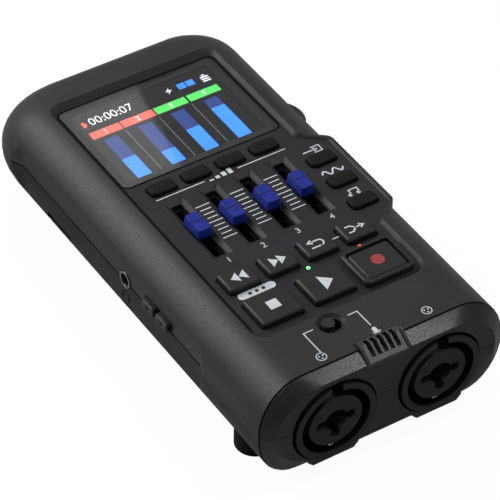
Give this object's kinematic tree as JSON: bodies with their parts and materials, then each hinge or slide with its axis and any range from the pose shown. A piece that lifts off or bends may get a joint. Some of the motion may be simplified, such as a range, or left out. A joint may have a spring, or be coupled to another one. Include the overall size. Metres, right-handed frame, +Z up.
{
  "type": "digital multitrack recorder",
  "caption": "Handheld multitrack audio recorder with colour display, channel faders, transport keys, combination mic sockets and a hinged battery cover.",
  "frame": {"origin": "centre of the footprint at ground level under the feet", "axes": "+Z up from the ground, +Y from the socket end towards the display end, +X to the right of a user who reads the display"},
  "size_m": [0.07, 0.1344, 0.0344],
  "materials": {
    "case_plastic": "satin grain",
    "panel_plastic": "satin grain",
    "lower_plastic": "satin grain",
    "bezel_plastic": "satin",
    "window": "clear gloss",
    "display": "lit picture",
    "board": "solder mask",
    "socket_plastic": "satin",
    "insert_plastic": "satin",
    "contact": "plated",
    "nickel": "plated",
    "switch_steel": "stamped",
    "switch_plastic": "moulded",
    "fader_blue": "satin",
    "button_rubber": "matt",
    "key_plastic": "satin",
    "knob_plastic": "satin",
    "lamp_green": "lit",
    "lamp_red": "lit",
    "grille_plastic": "satin",
    "cell_wrap": "sleeved",
    "screw_steel": "blackened",
    "foot_rubber": "matt"
  },
  "bodies": {
    "case": {"upper_case": "case_plastic", "control_panel": "panel_plastic", "lower_case": "lower_plastic", "front_bezel_upper": "bezel_plastic", "front_bezel_lower": "bezel_plastic", "display_window": "window", "display_module": "display", "main_board": "board", "socket_board": "board", "combo_shell_a": "socket_plastic", "combo_shell_b": "socket_plastic", "combo_insert_a": "insert_plastic", "combo_insert_b": "insert_plastic", "combo_contacts": "contact", "headphone_socket": "nickel", "volume_switch_body": "switch_steel", "source_switch_body": "switch_steel", "dial_encoder": "switch_steel", "fader_body_1": "switch_plastic", "fader_body_2": "switch_plastic", "fader_body_3": "switch_plastic", "fader_body_4": "switch_plastic", "tact_switches": "switch_plastic", "play_lamp": "lamp_green", "record_lamp": "lamp_red", "record_guard": "key_plastic", "mic_grille": "grille_plastic", "mic_capsules": "nickel", "battery_cells": "cell_wrap", "battery_contacts": "nickel", "usb_socket": "nickel", "card_socket": "switch_steel", "case_screws": "screw_steel", "board_screws": "screw_steel", "front_feet": "foot_rubber", "rear_feet": "foot_rubber"},
    "fader_cap_1": {"fader_cap_1": "fader_blue"},
    "fader_cap_2": {"fader_cap_2": "fader_blue"},
    "fader_cap_3": {"fader_cap_3": "fader_blue"},
    "fader_cap_4": {"fader_cap_4": "fader_blue"},
    "track_button_1": {"track_button_1": "button_rubber"},
    "track_button_2": {"track_button_2": "button_rubber"},
    "track_button_3": {"track_button_3": "button_rubber"},
    "track_button_4": {"track_button_4": "button_rubber"},
    "function_button_1": {"function_button_1": "button_rubber"},
    "function_button_2": {"function_button_2": "button_rubber"},
    "function_button_3": {"function_button_3": "button_rubber"},
    "rewind_key": {"rewind_key": "key_plastic"},
    "forward_key": {"forward_key": "key_plastic"},
    "undo_key": {"undo_key": "key_plastic"},
    "merge_key": {"merge_key": "key_plastic"},
    "stop_key": {"stop_key": "key_plastic"},
    "play_key": {"play_key": "key_plastic"},
    "record_key": {"record_key": "key_plastic"},
    "source_knob": {"source_knob": "knob_plastic"},
    "volume_up_key": {"volume_up_key": "knob_plastic"},
    "volume_down_key": {"volume_down_key": "knob_plastic"},
    "select_dial": {"select_dial": "knob_plastic"},
    "battery_cover": {"battery_cover": "lower_plastic"}
  },
  "joints": [
    {"name": "fader_cap_1_slide", "type": "slide", "parent": "case", "child": "fader_cap_1", "axis": [0, 1, 0], "range_m": [-0.0075, 0.0075]},
    {"name": "fader_cap_2_slide", "type": "slide", "parent": "case", "child": "fader_cap_2", "axis": [0, 1, 0], "range_m": [-0.0075, 0.0075]},
    {"name": "fader_cap_3_slide", "type": "slide", "parent": "case", "child": "fader_cap_3", "axis": [0, 1, 0], "range_m": [-0.0075, 0.0075]},
    {"name": "fader_cap_4_slide", "type": "slide", "parent": "case", "child": "fader_cap_4", "axis": [0, 1, 0], "range_m": [-0.0075, 0.0075]},
    {"name": "track_button_1_press", "type": "slide", "parent": "case", "child": "track_button_1", "axis": [0, 0, -1], "range_m": [0, 0.0006], "stiffness_N_per_m": 300},
    {"name": "track_button_2_press", "type": "slide", "parent": "case", "child": "track_button_2", "axis": [0, 0, -1], "range_m": [0, 0.0006], "stiffness_N_per_m": 300},
    {"name": "track_button_3_press", "type": "slide", "parent": "case", "child": "track_button_3", "axis": [0, 0, -1], "range_m": [0, 0.0006], "stiffness_N_per_m": 300},
    {"name": "track_button_4_press", "type": "slide", "parent": "case", "child": "track_button_4", "axis": [0, 0, -1], "range_m": [0, 0.0006], "stiffness_N_per_m": 300},
    {"name": "function_button_1_press", "type": "slide", "parent": "case", "child": "function_button_1", "axis": [0, 0, -1], "range_m": [0, 0.0006], "stiffness_N_per_m": 300},
    {"name": "function_button_2_press", "type": "slide", "parent": "case", "child": "function_button_2", "axis": [0, 0, -1], "range_m": [0, 0.0006], "stiffness_N_per_m": 300},
    {"name": "function_button_3_press", "type": "slide", "parent": "case", "child": "function_button_3", "axis": [0, 0, -1], "range_m": [0, 0.0006], "stiffness_N_per_m": 300},
    {"name": "rewind_key_press", "type": "slide", "parent": "case", "child": "rewind_key", "axis": [0, 0, -1], "range_m": [0, 0.0006], "stiffness_N_per_m": 300},
    {"name": "forward_key_press", "type": "slide", "parent": "case", "child": "forward_key", "axis": [0, 0, -1], "range_m": [0, 0.0006], "stiffness_N_per_m": 300},
    {"name": "undo_key_press", "type": "slide", "parent": "case", "child": "undo_key", "axis": [0, 0, -1], "range_m": [0, 0.0006], "stiffness_N_per_m": 300},
    {"name": "merge_key_press", "type": "slide", "parent": "case", "child": "merge_key", "axis": [0, 0, -1], "range_m": [0, 0.0006], "stiffness_N_per_m": 300},
    {"name": "stop_key_press", "type": "slide", "parent": "case", "child": "stop_key", "axis": [0, 0, -1], "range_m": [0, 0.0006], "stiffness_N_per_m": 300},
    {"name": "play_key_press", "type": "slide", "parent": "case", "child": "play_key", "axis": [0, 0, -1], "range_m": [0, 0.0006], "stiffness_N_per_m": 300},
    {"name": "record_key_press", "type": "slide", "parent": "case", "child": "record_key", "axis": [0, 0, -1], "range_m": [0, 0.0006], "stiffness_N_per_m": 300},
    {"name": "source_slide", "type": "slide", "parent": "case", "child": "source_knob", "axis": [1, 0, 0], "range_m": [0, 0.0018]},
    {"name": "volume_up_key_press", "type": "slide", "parent": "case", "child": "volume_up_key", "axis": [1, 0, 0], "range_m": [0, 0.0006], "stiffness_N_per_m": 300},
    {"name": "volume_down_key_press", "type": "slide", "parent": "case", "child": "volume_down_key", "axis": [1, 0, 0], "range_m": [0, 0.0006], "stiffness_N_per_m": 300},
    {"name": "dial_turn", "type": "hinge", "parent": "case", "child": "select_dial", "pos_m": [0.0275, 0.02425, 0.025], "axis": [0, 0, 1], "continuous": true},
    {"name": "cover_hinge", "type": "hinge", "parent": "case", "child": "battery_cover", "pos_m": [0, 0.00585, 0.0058], "axis": [-1, 0, 0], "range_deg": [0, 40]}
  ]
}
